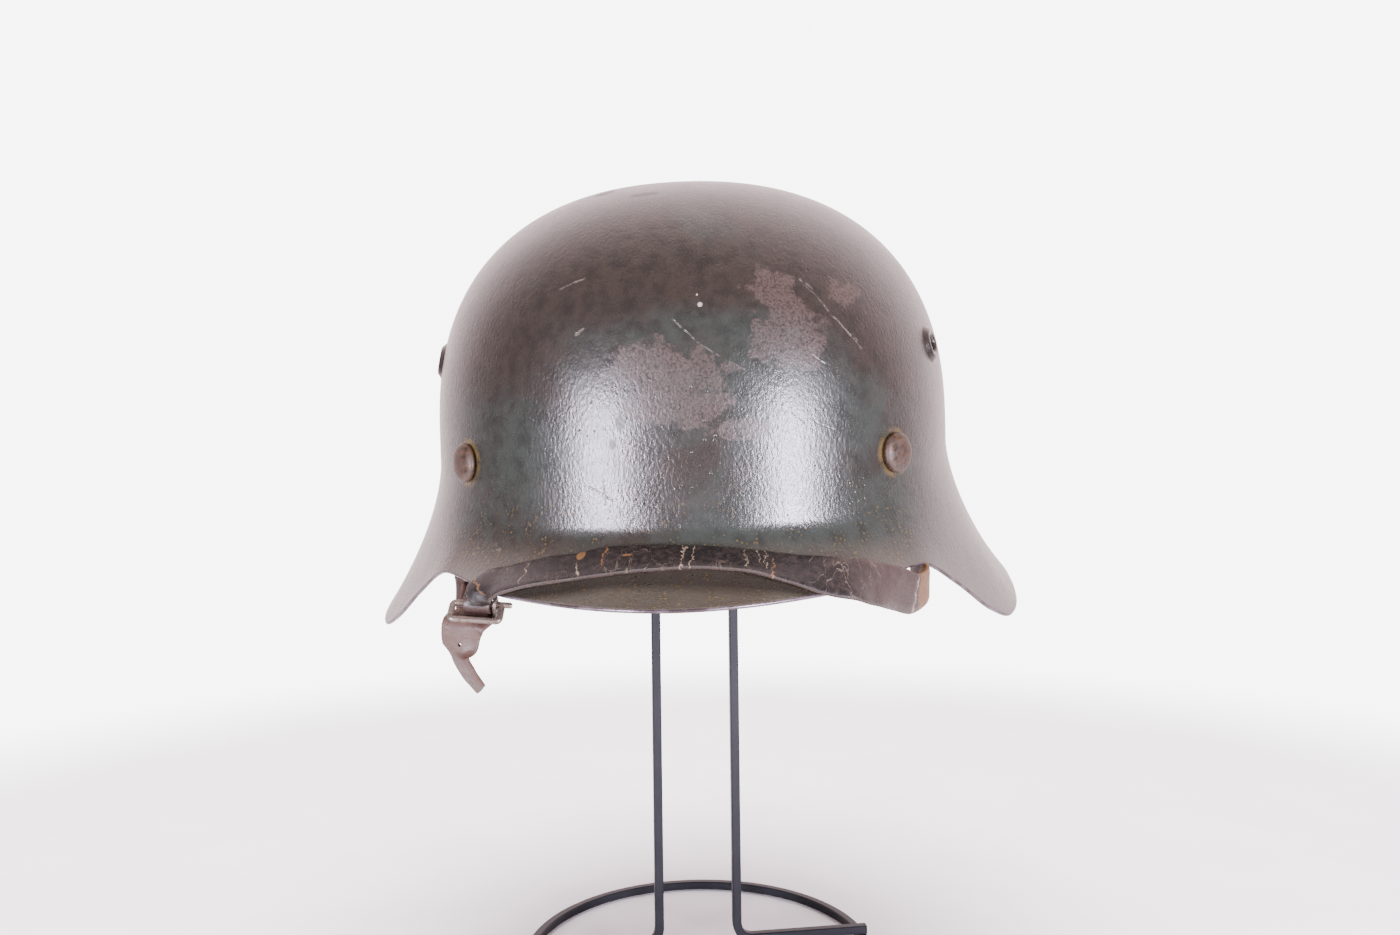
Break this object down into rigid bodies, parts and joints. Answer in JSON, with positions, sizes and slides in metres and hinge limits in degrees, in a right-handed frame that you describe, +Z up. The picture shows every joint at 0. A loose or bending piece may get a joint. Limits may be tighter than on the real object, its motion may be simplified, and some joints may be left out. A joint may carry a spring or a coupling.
{
  "type": "steel helmet with wire display stand",
  "caption": "Military steel helmet with visor, flared skirt, side vents, rivets and a buckled leather chin strap, set on a plain bent-wire display stand.",
  "frame": {"origin": "on the floor, under the middle of the whole", "axes": "+Z up, -Y to the helmet's front (visor), +X to the right of a viewer who faces the visor"},
  "size_m": [0.2448, 0.2742, 0.2964],
  "materials": {
    "shell_paint": "semi-gloss dark grey-green field paint, worn brown",
    "rivet_steel": "domed steel heads, brown with rust and chipped paint",
    "band_steel": "dull dark steel",
    "strap_leather": "old cracked dark brown leather",
    "tail_leather": "old reddish brown leather, greyish inside",
    "buckle_steel": "worn grey-brown steel with rust",
    "stand_paint": "dark grey satin paint"
  },
  "bodies": {
    "root": {"helmet_shell": "shell_paint", "rivet_front_right": "rivet_steel", "rivet_front_left": "rivet_steel", "rivet_rear": "rivet_steel", "inner_band": "band_steel", "chin_strap_long": "strap_leather", "chin_strap_tail": "tail_leather", "buckle_frame": "buckle_steel", "buckle_prong": "buckle_steel", "wire_stand": "stand_paint"}
  },
  "joints": []
}
